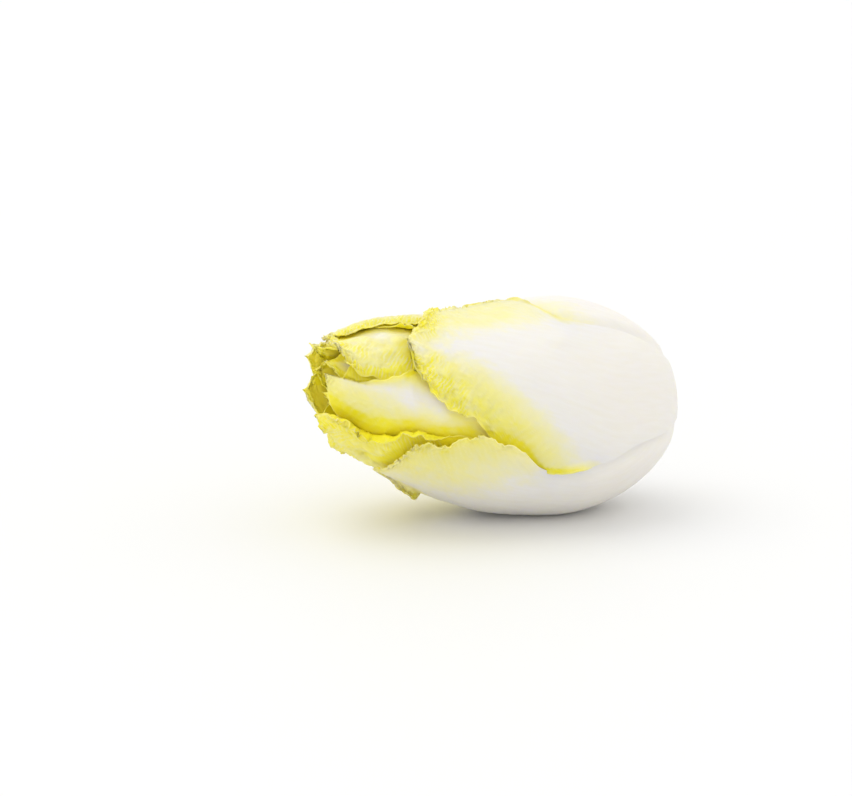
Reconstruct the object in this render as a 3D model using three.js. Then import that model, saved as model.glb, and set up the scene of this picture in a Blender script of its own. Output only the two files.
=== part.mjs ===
// A Belgian endive (witloof chicory), the tight white head that is cut from its root and sold whole.
// The head lies on its side, in millimetres, +Z up, with its tip towards -X and its cut butt towards +X.
// A short cone of stem, the core, carries every leaf. The leaves stand round it in a spiral, each lying over
// the next one inward, so a leaf's place follows from the leaves that cover it.
// Along the head, "from the butt" is the distance from the cut face towards the tip. Round the head, an angle
// of 0 faces -Y, 90 faces up and -90 faces the surface that the head lies on.
import * as THREE from "three";

// ---- Driving dimensions ----
const HEAD_LENGTH = 118; // of the whole outline, which ends just past the tip of the longest leaf
const BELLY_RADIUS = 35.5; // at the fattest place
const BELLY_AT = 40; // from the butt
const BUTT_RADIUS = 15.5; // of the head where it is cut
const TIP_RADIUS = 14; // of the open bunch of tips
const TIP_RISE = 15; // the head bends up towards its tip
const RISE_FROM = 60; // the bend starts this far from the butt
const FOOT_PRINT_DEPTH = 1.4; // how far the belly is pressed flat where the head lies
const BUTT_ROUNDNESS = 0.75; // from the cut to the belly: lower is blunter
const SLIM_TAPER = 1.5; // power of the long taper from the belly to the tip
const BLUNT_TAPER = 6; // power of the short one, which closes in only near the tip
const BLUNT_SHARE = 0.2; // of the narrowing that the short one makes
const RISE_POWER = 1.6;

const CORE_RADIUS = 11.5; // of the cut stem
const CORE_LENGTH = 42;
const CORE_SHOULDER = 2.2; // how long the cone of the core keeps its breadth
const CORE_NOSE = 0.8; // and how blunt its inner end is
const CORE_SIDES = 28;

const GAP = 1.2; // clear space between one leaf and the next
const BASE_THICKNESS = 3; // of a leaf's midrib at its foot
const TIP_THICKNESS = 1.2; // of a leaf near its tip
const MARGIN_SHARE = 0.4; // a margin's thickness as a share of the midrib's
const COVER_MARGIN = 5; // a leaf stays pressed in this far past the edge of the leaf over it
const COVER_RAMP = 12; // and then swells out to the head's own outline over this length
const FOOT_RAMP = 8; // below a leaf's foot the leaves over it close in over this length
const TIP_RAMP = 22; // past a leaf's tip it does so over this length
const LOOSENS = [20, 40]; // between these distances from the butt the leaves stop being spread round the core

// ---- Leaves, from the outermost inward ----
// facing: angle of the midrib where the head is widest; twist: how far the midrib turns on its way to the tip;
// width: half the leaf's breadth at its widest; clasp: its breadth near the foot as a share of that;
// foot and reach: from the butt to its foot and to its tip.
const OUTER_LEAVES = [
  { name: "front_wrapper_leaf", facing: 37, twist: 30, width: 37, clasp: 0.52, foot: 0.4, reach: 93 },
  { name: "under_wrapper_leaf", facing: -72, twist: 4, width: 42, clasp: 0.68, foot: 0.8, reach: 98 },
  { name: "top_wrapper_leaf", facing: 122, twist: -8, width: 44, clasp: 0.74, foot: 2, reach: 107 },
  { name: "back_wrapper_leaf", facing: -163, twist: -6, width: 42, clasp: 0.72, foot: 3, reach: 96 },
  { name: "front_second_leaf", facing: 6, twist: 22, width: 31, clasp: 0.7, foot: 4.5, reach: 115 },
  { name: "under_second_leaf", facing: -52, twist: 8, width: 36, clasp: 0.6, foot: 6, reach: 113 },
  { name: "back_second_leaf", facing: 168, twist: -8, width: 38, clasp: 0.6, foot: 7.5, reach: 111 },
  { name: "top_second_leaf", facing: 72, twist: 6, width: 34, clasp: 0.6, foot: 9, reach: 106 },
];
const HEART_LEAVES = 12;
// Every leaf widens from its clasping foot over the first range of shares of its length, and narrows to its tip
// over the second. It turns with its twist between the two distances from the butt.
const WIDENS = [0.18, 0.6];
const NARROWS = [0.52, 1];
const TURNS = [22, 78];
const TIP_SHAPE = [1.5, 0.75]; // powers of the outline where it narrows
const TIP_BREADTH = 0.05; // of the very tip, as a share of the greatest
const TIP_DROOP = 0.16; // the sides of a tip end sooner than its middle, by this share of the leaf's length
const DROOPS_FROM = 0.6; // share of the length
const DROOP_POWER = 1.7;
const LEVEL = [0.97, 0.2]; // radius of the outermost and innermost leaf as a share of the head's
const LEVEL_POWER = 1.1; // over 1, the radius falls slowly at first
const WIDEST = [110, 95]; // degrees each way from the midrib, outermost and innermost leaf
const FLESHY = [1, 0.75]; // thickness as a share of the outermost leaf's
const FACET_WIDTH = 5.5; // about how wide a facet of a leaf is
const LEAST_COLUMNS = 9;
const LEAF_ROWS = 13;
const ROW_CROWDING = 0.6; // how far the rows crowd towards the two ends, where a leaf bends most
const GOLDEN_ANGLE = 137.5; // turn from one heart leaf to the next
const HEART = {
  facing: -157,
  width: [33, 9], // first and last heart leaf
  twist: 8,
  clasp: 0.55,
  foot: [12, 36],
  reach: [113, 92],
};

const DEG = Math.PI / 180;
const { min, max, abs, cos, sin } = Math;
const mix = (a, b, t) => a + (b - a) * t;
const clamp01 = (x) => min(1, max(0, x));
const smooth = (x) => clamp01(x) ** 2 * (3 - 2 * clamp01(x));
const crowded = (x) => mix(x, smooth(x), ROW_CROWDING);
const turn = (angle) => angle - 360 * Math.round(angle / 360); // into -180..180
const within = ([from, to], x) => clamp01((x - from) / (to - from)); // share of the way from one to the other

function heartLeaf(i) {
  const inward = i / (HEART_LEAVES - 1);
  return {
    name: `heart_leaf_${String(i + 1).padStart(2, "0")}`,
    facing: HEART.facing + GOLDEN_ANGLE * i,
    twist: HEART.twist,
    width: mix(...HEART.width, inward),
    clasp: HEART.clasp,
    foot: mix(...HEART.foot, inward),
    reach: mix(...HEART.reach, inward ** 2),
  };
}

const leaves = [
  ...OUTER_LEAVES,
  ...Array.from({ length: HEART_LEAVES }, (_, i) => heartLeaf(i)),
];

// ---- The head's own outline ----
function headRadius(fromButt) {
  if (fromButt < BELLY_AT) {
    const back = 1 - max(0, fromButt) / BELLY_AT;
    return mix(BUTT_RADIUS, BELLY_RADIUS, (1 - back ** 2) ** BUTT_ROUNDNESS);
  }
  const along = (fromButt - BELLY_AT) / (HEAD_LENGTH - BELLY_AT);
  return mix(BELLY_RADIUS, TIP_RADIUS, mix(along ** SLIM_TAPER, along ** BLUNT_TAPER, BLUNT_SHARE));
}

function coreRadius(fromButt) {
  const along = clamp01(fromButt / CORE_LENGTH);
  return CORE_RADIUS * (1 - along ** CORE_SHOULDER) ** CORE_NOSE;
}

const rise = (fromButt) =>
  TIP_RISE * max(0, (fromButt - RISE_FROM) / (HEAD_LENGTH - RISE_FROM)) ** RISE_POWER;

// ---- A leaf's own shape ----
const along = (leaf, fromButt) => clamp01((fromButt - leaf.foot) / (leaf.reach - leaf.foot));
const facingAt = (leaf, fromButt) => leaf.facing + leaf.twist * (smooth(within(TURNS, fromButt)) - 0.5);

// Half the breadth at a share t of the leaf's length.
function halfWidth(leaf, t) {
  const foot = mix(leaf.clasp, 1, smooth(within(WIDENS, t)));
  const [start, end] = TIP_SHAPE;
  const taper = (1 - within(NARROWS, t) ** start) ** end;
  return leaf.width * foot * max(taper, TIP_BREADTH);
}

// The same as an angle round the head, at the radius where the leaf is likely to lie.
function halfAngle(leaf, fromButt) {
  const lies = headRadius(fromButt) * leaf.level;
  return min(leaf.widest, halfWidth(leaf, along(leaf, fromButt)) / lies / DEG);
}

function thickness(leaf, t, across) {
  return mix(BASE_THICKNESS, TIP_THICKNESS, t) * leaf.fleshy * mix(1, MARGIN_SHARE, min(1, abs(across)) ** 2);
}

leaves.forEach((leaf, k) => {
  const inward = k / (leaves.length - 1);
  leaf.level = mix(...LEVEL, inward ** LEVEL_POWER);
  leaf.widest = mix(...WIDEST, inward);
  leaf.fleshy = mix(...FLESHY, inward);
});

// ---- How the leaves lie on each other ----
// Where an edge slants across the head, its distance is less than the way round to it.
function pastEdge(leaf, fromButt, angle) {
  const arc = (place) => halfAngle(leaf, place) * DEG * headRadius(place) * leaf.level;
  const slant = (arc(fromButt + 1) - arc(fromButt - 1)) / 2;
  const round = abs(turn(angle - facingAt(leaf, fromButt))) * DEG * headRadius(fromButt) * leaf.level;
  return (round - arc(fromButt)) / Math.hypot(1, slant);
}

// 1 under a leaf and close to its edge, falling to 0 further out, both round the head and past its two ends.
function cover(leaf, fromButt, angle) {
  const side = (pastEdge(leaf, fromButt, angle) - COVER_MARGIN) / COVER_RAMP;
  const foot = (leaf.foot - fromButt) / FOOT_RAMP;
  const tip = (fromButt - leaf.reach - COVER_MARGIN) / TIP_RAMP;
  return (1 - smooth(side)) * (1 - smooth(foot)) * (1 - smooth(tip));
}

function takes(leaf, fromButt, angle) {
  const across = turn(angle - facingAt(leaf, fromButt)) / halfAngle(leaf, fromButt);
  return cover(leaf, fromButt, angle) * (thickness(leaf, along(leaf, fromButt), across) + GAP);
}

const depthUnder = (k, fromButt, angle) =>
  leaves.slice(0, k).reduce((sum, leaf) => sum + takes(leaf, fromButt, angle), 0);

// Near the butt the leaves fill the room round the core. Further on they lie at their own thickness.
function packing(fromButt, angle) {
  const room = headRadius(fromButt) - coreRadius(fromButt) - GAP;
  const fill = room / depthUnder(leaves.length, fromButt, angle);
  return mix(fill, min(1, fill), smooth(within(LOOSENS, fromButt)));
}

function leafPoint(k, t, u, inner) {
  const leaf = leaves[k];
  const droop = TIP_DROOP * smooth(within([DROOPS_FROM, 1], t)) * abs(u) ** DROOP_POWER;
  const fromButt = mix(leaf.foot, leaf.reach, t * (1 - droop));
  const angle = facingAt(leaf, fromButt) + u * halfAngle(leaf, fromButt);
  const squeeze = packing(fromButt, angle);
  const outside = headRadius(fromButt) - depthUnder(k, fromButt, angle) * squeeze;
  const thick = thickness(leaf, along(leaf, fromButt), u) * min(1, squeeze);
  return headPoint(fromButt, angle, outside - (inner ? thick : 0));
}

const FLOOR = FOOT_PRINT_DEPTH - BELLY_RADIUS; // height of the resting surface from the head's axis

function headPoint(fromButt, angle, radius) {
  const height = radius * sin(angle * DEG) + rise(fromButt);
  return new THREE.Vector3(-fromButt, -radius * cos(angle * DEG), max(height, FLOOR));
}

// A closed shell: a grid of points on the outside, the same grid on the inside, and a rim that joins them.
function leafGeometry(k) {
  const columns = max(LEAST_COLUMNS, Math.ceil((2 * leaves[k].width) / FACET_WIDTH));
  const rows = LEAF_ROWS;
  const points = [];
  for (const inner of [false, true])
    for (let row = 0; row <= rows; row++)
      for (let column = 0; column <= columns; column++)
        points.push(leafPoint(k, crowded(row / rows), (2 * column) / columns - 1, inner));
  const at = (row, column, inner) => (inner * (rows + 1) + row) * (columns + 1) + column;
  const faces = [];
  const quad = (a, b, c, d) => faces.push(a, b, c, a, c, d);
  for (let row = 0; row < rows; row++)
    for (let column = 0; column < columns; column++) {
      const corners = (side) => [
        at(row, column, side),
        at(row, column + 1, side),
        at(row + 1, column + 1, side),
        at(row + 1, column, side),
      ];
      quad(...corners(0));
      quad(...corners(1).reverse());
    }
  for (let row = 0; row < rows; row++) {
    quad(at(row, 0, 0), at(row + 1, 0, 0), at(row + 1, 0, 1), at(row, 0, 1));
    quad(at(row, columns, 1), at(row + 1, columns, 1), at(row + 1, columns, 0), at(row, columns, 0));
  }
  for (let column = 0; column < columns; column++) {
    quad(at(0, column, 1), at(0, column + 1, 1), at(0, column + 1, 0), at(0, column, 0));
    quad(at(rows, column, 0), at(rows, column + 1, 0), at(rows, column + 1, 1), at(rows, column, 1));
  }
  return new THREE.BufferGeometry().setFromPoints(points).setIndex(faces);
}

// The core is a cone of stem with a flat cut face.
function coreGeometry() {
  const profile = [new THREE.Vector2(0, 0)];
  const steps = 10; // along the cone
  for (let i = 0; i <= steps; i++) {
    const fromButt = (CORE_LENGTH * i) / steps;
    profile.push(new THREE.Vector2(i === steps ? 0 : coreRadius(fromButt), fromButt));
  }
  return new THREE.LatheGeometry(profile, CORE_SIDES).rotateZ(Math.PI / 2);
}

const leafMaterial = new THREE.MeshStandardMaterial({ color: 0xf2efdc, roughness: 0.45, metalness: 0 });
const heartMaterial = new THREE.MeshStandardMaterial({ color: 0xece28c, roughness: 0.5, metalness: 0 });
const coreMaterial = new THREE.MeshStandardMaterial({ color: 0xe9e2cc, roughness: 0.6, metalness: 0 });

const head = new THREE.Group();
const core = new THREE.Mesh(coreGeometry(), coreMaterial);
core.name = "core";
head.add(core);
leaves.forEach((leaf, k) => {
  const mesh = new THREE.Mesh(leafGeometry(k), k < OUTER_LEAVES.length ? leafMaterial : heartMaterial);
  mesh.name = leaf.name;
  head.add(mesh);
});

// The origin is under the middle of the head, on the surface that it lies on.
const box = new THREE.Box3().setFromObject(head);
const middle = box.getCenter(new THREE.Vector3());
head.position.set(-middle.x, -middle.y, -box.min.z);

export default head;
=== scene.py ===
from dataclasses import dataclass, field
from math import cos, pi, radians, sin

import bpy
import numpy as np
from mathutils import Color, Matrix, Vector


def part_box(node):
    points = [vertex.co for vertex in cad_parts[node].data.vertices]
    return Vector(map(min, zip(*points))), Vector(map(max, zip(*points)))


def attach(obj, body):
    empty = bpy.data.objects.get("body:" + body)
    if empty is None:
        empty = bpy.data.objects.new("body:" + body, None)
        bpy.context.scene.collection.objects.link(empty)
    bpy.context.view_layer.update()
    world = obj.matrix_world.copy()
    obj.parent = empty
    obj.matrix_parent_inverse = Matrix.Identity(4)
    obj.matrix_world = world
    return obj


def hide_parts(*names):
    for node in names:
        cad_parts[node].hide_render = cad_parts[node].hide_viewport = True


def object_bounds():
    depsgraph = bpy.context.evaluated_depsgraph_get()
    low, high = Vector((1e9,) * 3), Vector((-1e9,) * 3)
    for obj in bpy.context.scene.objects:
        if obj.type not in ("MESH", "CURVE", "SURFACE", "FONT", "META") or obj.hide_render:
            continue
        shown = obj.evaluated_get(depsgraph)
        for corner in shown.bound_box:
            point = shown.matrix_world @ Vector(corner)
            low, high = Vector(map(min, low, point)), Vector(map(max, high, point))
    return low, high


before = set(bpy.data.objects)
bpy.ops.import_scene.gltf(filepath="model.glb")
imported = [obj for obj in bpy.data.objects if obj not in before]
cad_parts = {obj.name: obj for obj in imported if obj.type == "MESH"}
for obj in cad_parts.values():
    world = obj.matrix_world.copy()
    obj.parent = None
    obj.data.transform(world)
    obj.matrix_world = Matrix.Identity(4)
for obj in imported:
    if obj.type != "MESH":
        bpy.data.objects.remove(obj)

bl_info = {
    "name": "Belgian endive",
    "version": (1, 0, 0),
    "blender": (4, 5, 0),
    "location": "3D View > Sidebar > Endive",
    "description": "Builds a head of Belgian endive, leaf by leaf, round its packed solids",
    "category": "Object",
}

CAD_BOX = [list(corner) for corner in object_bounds()]
MM = 0.001
BODY = "root"

# ---- The head's own outline, as in the solids ----
HEAD_LENGTH = 118
BELLY_RADIUS = 35.5
BELLY_AT = 40
BUTT_RADIUS = 15.5
TIP_RADIUS = 14
TIP_RISE = 15
RISE_FROM = 60
BUTT_ROUNDNESS = 0.75
SLIM_TAPER = 1.5
BLUNT_TAPER = 6
BLUNT_SHARE = 0.2
RISE_POWER = 1.6
PAST_TIP = 1.2
CORE_RADIUS = 11.5
CORE_LENGTH = 42
CORE_SHOULDER = 2.2
CORE_NOSE = 0.8

# ---- The cut stem ----
STEM_SIDES = 96
STEM_RINGS = 26
RING_CROWDING = 1.5
FACE_RINGS = 20
STEM_WAVES = ((0.012, 5, 1), (0.008, 11, 0))
BEVEL = 0.35
BEDDED = (3, 9)
VESSELS_AT = 0.58
VESSELS_BREADTH = 0.07
VESSELS_STRENGTH = 0.6
DRIED_FROM = 0.9
DRIED_STRENGTH = 0.7

core_low, core_high = (np.array(corner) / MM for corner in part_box("core"))
BUTT_X = core_high[0]
AXIS_Y, AXIS_Z = (core_low[1:] + core_high[1:]) / 2

# ---- How the leaves lie on each other ----
# LOOSENS, TURNS, SWAPS and PINCHES are spans from the butt, WIDENS and NARROWS are spans of a leaf's length.
# LEVEL, WIDEST and FLESHY go from the outermost leaf to the innermost.
GAP = 0.35
BASE_THICKNESS = 3.0
TIP_THICKNESS = 1.0
MARGIN_THICKNESS = 0.32
COVER_MARGIN = 0.8
COVER_RAMP = 6
FOOT_RAMP = 6
TIP_RAMP = 16
LOOSENS = (20, 40)
WIDENS = (0.18, 0.6)
NARROWS = (0.52, 1)
TURNS = (22, 78)
TIP_BREADTH = 0.04
LEVEL = (0.97, 0.2)
LEVEL_POWER = 1.1
WIDEST = (110, 95)
FLESHY = (1, 0.75)
SWAPS = (44, 56)
CLOSES_IN = 0.92
THICKEST = 5
PINCH = 0.3
PINCH_POWER = 1.5
PINCHES = (95, 120)
CORNER_POWER = 1.7
THINNING_POWER = 1.6
OPENS_OVER = 4

# ---- How a leaf's sheet is drawn ----
SEEDS_PER_LEAF = 7
SIDES_APART = 40
COLUMN_CROWDING = 0.8 * pi / 2
ROW_EVENNESS = 0.4
CORNERS_FROM = (0.55, 1)
TEETH_FROM = (0.35, 0.8)
TOOTH_LENGTH = 15
TOOTH_POWER = 4
TIP_TEETH_FROM = (0.8, 1)
TIP_TOOTH_LENGTH = 11
TIP_TOOTH_HEIGHT = 0.8
LEAST_BREADTH = 0.2
ROLL_WAVER = 0.35
ROLL_WAVER_LENGTH = 22
ROLL_SHARE = 0.7
LEAST_ROLL = 1e-4
LUMP_HEIGHT = 0.35
LUMP_LENGTHS = (46, 40)
LUMP_ROUND = 0.6
LUMPS_FROM = (4, 30)
LIFTS_FROM = (0.86, 1)
NARROW = 2.5
THINS_OVER = 2.5
THINS_FROM = (6, 24)
CRINKLES_FROM = (62, 88)

# ---- Where a leaf is yellow ----
GOLD_LEAD = 0.18
GOLD_SPREAD = 0.62
GOLD_RISE = 0.4
RIM_LAG = 0.05
RIM_RISE = 0.15
SIDES_BLEND = 12
PALE_MIDRIB = 0.35

# ---- The waves that a wavering line is made of ----
WAVES = 5
WAVE_SHORTENS = 0.9
WAVE_WEAKENS = 0.55
WAVE_VARIES = (0.85, 1.15)
WAVE_TOTAL = 2.2

# ---- Relief of a leaf ----
SEEDS_APART = 31.7
VEIN_SLANT = 0.75
VEIN_WOBBLE = 0.16
VEIN_WANDER = 5.0
VEIN_SHARPNESS = 3.5
NET_WARP = 5.0
FOLD_PACE = 0.13
FRILL_SWAY = 13.0
FRILL_REACH = 7.0

# ---- Colour of a leaf ----
BARB_WANDER = 3.5
BARB_SHARPNESS = 2.5
BARB_BAND = (15.0, 7.0)
CREAM_AT = (0.02, 0.42)
YELLOW_AT = (0.3, 0.75)
DEEP_YELLOW_AT = (0.72, 1.15)
SHEEN = (0.34, 0.52)
GAMMA = 2.2

# ---- Stage ----
KEY_FROM = (-0.35, 0.25, 1)
LENS = 85
SENSOR = 36
CLIP_START = 0.01


def mix(a, b, t):
    return a + (b - a) * t


def clamp(x, low=0.0, high=1.0):
    return np.minimum(high, np.maximum(low, x))


def within(span, x):
    return clamp((x - span[0]) / (span[1] - span[0]))


def smooth(x):
    x = clamp(x)
    return x * x * (3 - 2 * x)


def turn(angle):
    return angle - 360 * np.round(angle / 360)


def unit(vectors):
    return vectors / np.maximum(np.linalg.norm(vectors, axis=-1, keepdims=True), 1e-9)


def flow(points, x):
    """A smooth curve through a few (place, value) points."""
    places, values = np.array(points, float).T
    slopes = np.gradient(values, places)
    x = clamp(x, places[0], places[-1])
    i = np.clip(np.searchsorted(places, x, side="right") - 1, 0, len(places) - 2)
    span = places[i + 1] - places[i]
    t = (x - places[i]) / span
    start = values[i] * (1 + 2 * t) * (1 - t) ** 2 + slopes[i] * span * t * (1 - t) ** 2
    end = values[i + 1] * (3 - 2 * t) * t * t + slopes[i + 1] * span * t * t * (t - 1)
    return start + end


def ripple(seed, x, length):
    """A wavering line between about -1 and 1, whose longest wave has this length."""
    rng = np.random.default_rng(seed)
    total = 0
    for i in range(WAVES):
        pace = 2 * pi / length * (1 + WAVE_SHORTENS * i) * rng.uniform(*WAVE_VARIES)
        total = total + np.sin(x * pace + rng.uniform(0, 2 * pi)) / (1 + WAVE_WEAKENS * i)
    return total / WAVE_TOTAL


@dataclass
class Leaf:
    """One leaf: where it stands on the head, its outline, and how its margins and tissue look.

    facing: angle of the midrib; twist: how far the midrib turns on its way to the tip.
    width: half the greatest breadth; clasp: breadth near the foot as a share of that.
    foot and reach: from the butt to foot and tip; tip: powers of the taper towards the tip.
    low and high: where a margin has a course of its own, its (from the butt, angle) points.
    corners: how far the tip falls back at the low and high margin; closes: over what length the tip rounds off.
    curl_low and curl_high: (from the butt, degrees) by which that margin rolls outward, over curl_width.
    lift: how far the tip stands off; folds and frill: depth of the folds and of the waves along a margin.
    ragged: depth of the teeth; crumple: how much of the usual veins, puckers and patches the blade has.
    rib: (share of the length, share of the width) that stays white; lean: how much less of it towards the high
    margin; rim and rim_gold: breadth and strength of the yellow along a margin; gold_from: share of the length
    where yellow starts; gold: its strength at the low and high margin; tip_gold: (share of the length where it
    starts, strength) of the yellow across the tip.
    cells: columns and rows of the grid; crowding: how much closer the rows stand towards the tip.
    """
    name: str
    facing: float
    twist: float
    width: float
    clasp: float
    foot: float
    reach: float
    seed: int = 0
    tip: tuple = (1.5, 0.75)
    low: tuple = ()
    high: tuple = ()
    corners: tuple = (10, 10)
    closes: float = 7
    curl_low: tuple = ((0, 0), (50, 0), (80, 30), (100, 45))
    curl_high: tuple = ((0, 0), (50, 0), (80, 30), (100, 45))
    curl_width: float = 7
    lift: float = 1.2
    folds: float = 5.0
    frill: float = 1.6
    ragged: float = 1.0
    rib: tuple = ((0, 1.5), (0.3, 0.95), (0.5, 0.55), (0.75, 0.16), (1, -0.1))
    lean: float = 1.0
    rim: float = 5
    rim_gold: float = 0.5
    gold_from: float = 0.3
    gold: tuple = (1.0, 1.0)
    tip_gold: tuple = (0.92, 0.8)
    crumple: float = 1.0
    cells: tuple = (90, 130)
    crowding: float = 1.0
    level: float = field(default=0, init=False)
    widest: float = field(default=0, init=False)
    fleshy: float = field(default=0, init=False)


OUTER_LEAVES = [
    Leaf("front_wrapper_leaf", 37, 30, 37, 0.52, 0.4, 91.5, cells=(150, 190),
         low=((0, -10), (8, -12), (20, -12), (31, -18), (40, -20), (47, -22), (54, -22), (61, -19), (67, -8),
              (71, 1), (74, 5), (79, 8), (84, 14), (89, 20), (92, 28)),
         high=((0, 50), (20, 54), (37, 58), (42, 62), (46, 74), (50, 90), (60, 102), (72, 100), (79, 89),
               (84, 76), (92, 66)),
         corners=(0, 9), closes=2,
         curl_low=((0, 0), (36, 0), (41, 70), (46, 40), (51, 0), (66, 0), (72, 20), (92, 25)),
         curl_high=((0, 0), (60, 0), (80, 25), (92, 30)),
         curl_width=4.5, lift=1.0, folds=4.0, frill=1.0, ragged=0.9, rim=3.5, rim_gold=0.9, gold=(0.9, 0.55),
         lean=1.6, gold_from=0.28, tip_gold=(0.75, 1.15),
         rib=((0, 1.5), (0.3, 0.95), (0.5, 0.56), (0.64, 0.37), (0.76, 0.16), (0.88, 0.02), (0.96, -0.08),
              (1, -0.3))),
    Leaf("under_wrapper_leaf", -72, 4, 42, 0.68, 0.8, 100, cells=(150, 190),
         low=((0, -138), (40, -142), (65, -136), (79, -110), (86, -88), (93, -74), (100, -60)),
         high=((0, -6), (20, -6), (34, -12), (44, -21), (50, -25), (54, -22), (58, -15), (60, -11), (64, -7),
               (69, -6), (73, -4), (77, -6), (80, -9), (84, -13), (89, -15), (92, -19), (95, -26), (100, -50)),
         corners=(4, 5), closes=5, curl_low=((0, 0), (72, 0), (80, 60), (92, 85), (100, 40)), ragged=0.6,
         curl_high=((0, 0), (50, 0), (58, 30), (66, 50), (84, 50), (98, 40)), folds=2, frill=0.9, rim=14,
         gold_from=0.42, gold=(1.0, 0.6), crumple=0.5),
    Leaf("top_wrapper_leaf", 122, -8, 44, 0.74, 2, 112, tip=(2, 0.65), cells=(140, 180),
         low=((2, 38), (25, 38), (45, 46), (60, 60), (75, 70), (90, 78), (112, 74)),
         corners=(4, 14), curl_low=((0, 0), (60, 0), (76, 8), (86, 6), (112, 4)), curl_width=4,
         rib=((0, 1.5), (0.2, 0.7), (0.45, 0.4), (0.75, 0.15), (1, -0.1)), gold_from=0.14, rim=12, lift=0,
         gold=(0.7, 0.8), frill=0.4, ragged=0.5, folds=2.0),
    Leaf("back_wrapper_leaf", -163, -6, 42, 0.72, 3, 96, tip=(2, 0.7), cells=(100, 130)),
    Leaf("under_second_leaf", -52, 8, 36, 0.6, 6, 119, tip=(2, 0.7), cells=(120, 160), crowding=1.5,
         high=((6, -10), (74, -8), (82, -9), (89, -8), (95, -12), (101, -18), (107, -22), (112, -20), (119, -18)),
         corners=(12, 3), closes=7, curl_high=((0, 0), (78, 0), (88, 75), (119, 70)), curl_width=5.5,
         frill=1.5, ragged=0.8, rib=((0, 1.5), (0.5, 0.6), (0.7, -0.1), (1, -0.5)), gold=(0.85, 1.0),
         folds=7.0, crumple=0.6),
    Leaf("front_second_leaf", 6, 15, 31, 0.7, 4.5, 117, tip=(1.7, 0.8), cells=(130, 180), crowding=1.3,
         low=((4, -50), (60, -40), (84, -26), (100, -32), (117, -34)),
         high=((4, 60), (60, 60), (80, 45), (93, 30), (98, 24), (104, 19), (108, 13), (112, 3), (117, -10)),
         corners=(1, 1), closes=6, curl_low=((0, 0), (80, 0), (100, 12), (117, 20)),
         curl_high=((0, 0), (80, 0), (92, 60), (104, 80), (117, 30)), curl_width=3.5, rim=3, gold_from=0.3,
         lift=0.3, rib=((0, 1.5), (0.5, 0.3), (0.64, -0.06), (0.72, 0.03), (0.86, -0.03), (0.95, -0.2), (1, -0.4)),
         lean=1.9, gold=(0.85, 0.6), crumple=0.4, rim_gold=0.8, folds=1.5, frill=0.6, ragged=0.4),
    Leaf("back_second_leaf", 168, -8, 38, 0.6, 7.5, 116, tip=(2, 0.7), cells=(100, 120), crowding=1.5,
         corners=(12, 12), frill=0.9, ragged=0.5, lift=0, gold=(0.9, 0.9), folds=3, crumple=0.6),
    Leaf("top_second_leaf", 72, -4, 34, 0.6, 9, 114, tip=(2, 0.7), cells=(120, 160), crowding=1.5,
         low=((9, 20), (70, 20), (85, 27), (95, 27), (102, 22), (114, 28)), corners=(3, 9),
         curl_low=((0, 0), (75, 0), (88, 70), (100, 60), (109, 20), (114, 0)), curl_width=5,
         gold=(0.65, 0.9), frill=1.6, ragged=0.9, folds=7.0, crumple=0.7,
         rib=((0, 1.5), (0.5, 0.3), (0.76, -0.2), (0.88, -0.1), (1, -0.35)), gold_from=0.1),
]
HEART_LEAVES = 12
GOLDEN_ANGLE = 137.5
HEART = {"facing": -157, "twist": 8, "width": (33, 9), "clasp": 0.55, "foot": (12, 36), "reach": (117, 107)}


def heart_leaf(i):
    inward = i / (HEART_LEAVES - 1)
    return Leaf(
        f"heart_leaf_{i + 1:02d}",
        HEART["facing"] + GOLDEN_ANGLE * i,
        HEART["twist"],
        mix(*HEART["width"], inward),
        HEART["clasp"],
        mix(*HEART["foot"], inward),
        mix(*HEART["reach"], inward ** 2),
        tip=(2, 0.7),
        corners=(14, 14),
        lift=0.6,
        frill=1.0,
        folds=4.0,
        crumple=0.5,
        ragged=0.5,
        rib=((0, 1.2), (0.4, 0.6), (0.7, 0.12), (0.9, 0.02), (1, -0.25)),
        gold_from=0.25,
        gold=(0.9, 0.9),
        cells=(64, 80),
        crowding=1.8,
    )


LEAVES = OUTER_LEAVES + [heart_leaf(i) for i in range(HEART_LEAVES)]
for order, leaf in enumerate(LEAVES):
    inward = order / (len(LEAVES) - 1)
    leaf.seed = order + 1
    leaf.level = mix(*LEVEL, inward ** LEVEL_POWER)
    leaf.widest = mix(*WIDEST, inward)
    leaf.fleshy = mix(*FLESHY, inward)
FRONT, UNDER = 0, 1


def head_radius(a):
    back = 1 - clamp(a, 0, BELLY_AT) / BELLY_AT
    near = mix(BUTT_RADIUS, BELLY_RADIUS, (1 - back ** 2) ** BUTT_ROUNDNESS)
    along = clamp((a - BELLY_AT) / (HEAD_LENGTH - BELLY_AT), 0, PAST_TIP)
    far = mix(BELLY_RADIUS, TIP_RADIUS, mix(along ** SLIM_TAPER, along ** BLUNT_TAPER, BLUNT_SHARE))
    return np.where(a < BELLY_AT, near, far)


def core_radius(a):
    return CORE_RADIUS * (1 - clamp(a / CORE_LENGTH) ** CORE_SHOULDER) ** CORE_NOSE


def rise(a):
    return TIP_RISE * clamp((a - RISE_FROM) / (HEAD_LENGTH - RISE_FROM), 0, PAST_TIP) ** RISE_POWER


def place(a, angle, radius):
    """The point of the head this far from the butt, round it and out from its axis, in millimetres."""
    angle = np.radians(angle)
    radius = radius * (1 - PINCH * smooth(within(PINCHES, a)) * clamp(np.sin(angle)) ** PINCH_POWER)
    z = AXIS_Z + radius * np.sin(angle) + rise(a)
    return np.stack([BUTT_X - a, AXIS_Y - radius * np.cos(angle), z], axis=-1)


def along(leaf, a):
    return clamp((a - leaf.foot) / (leaf.reach - leaf.foot))


def facing_at(leaf, a):
    return leaf.facing + leaf.twist * (smooth(within(TURNS, a)) - 0.5)


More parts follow.
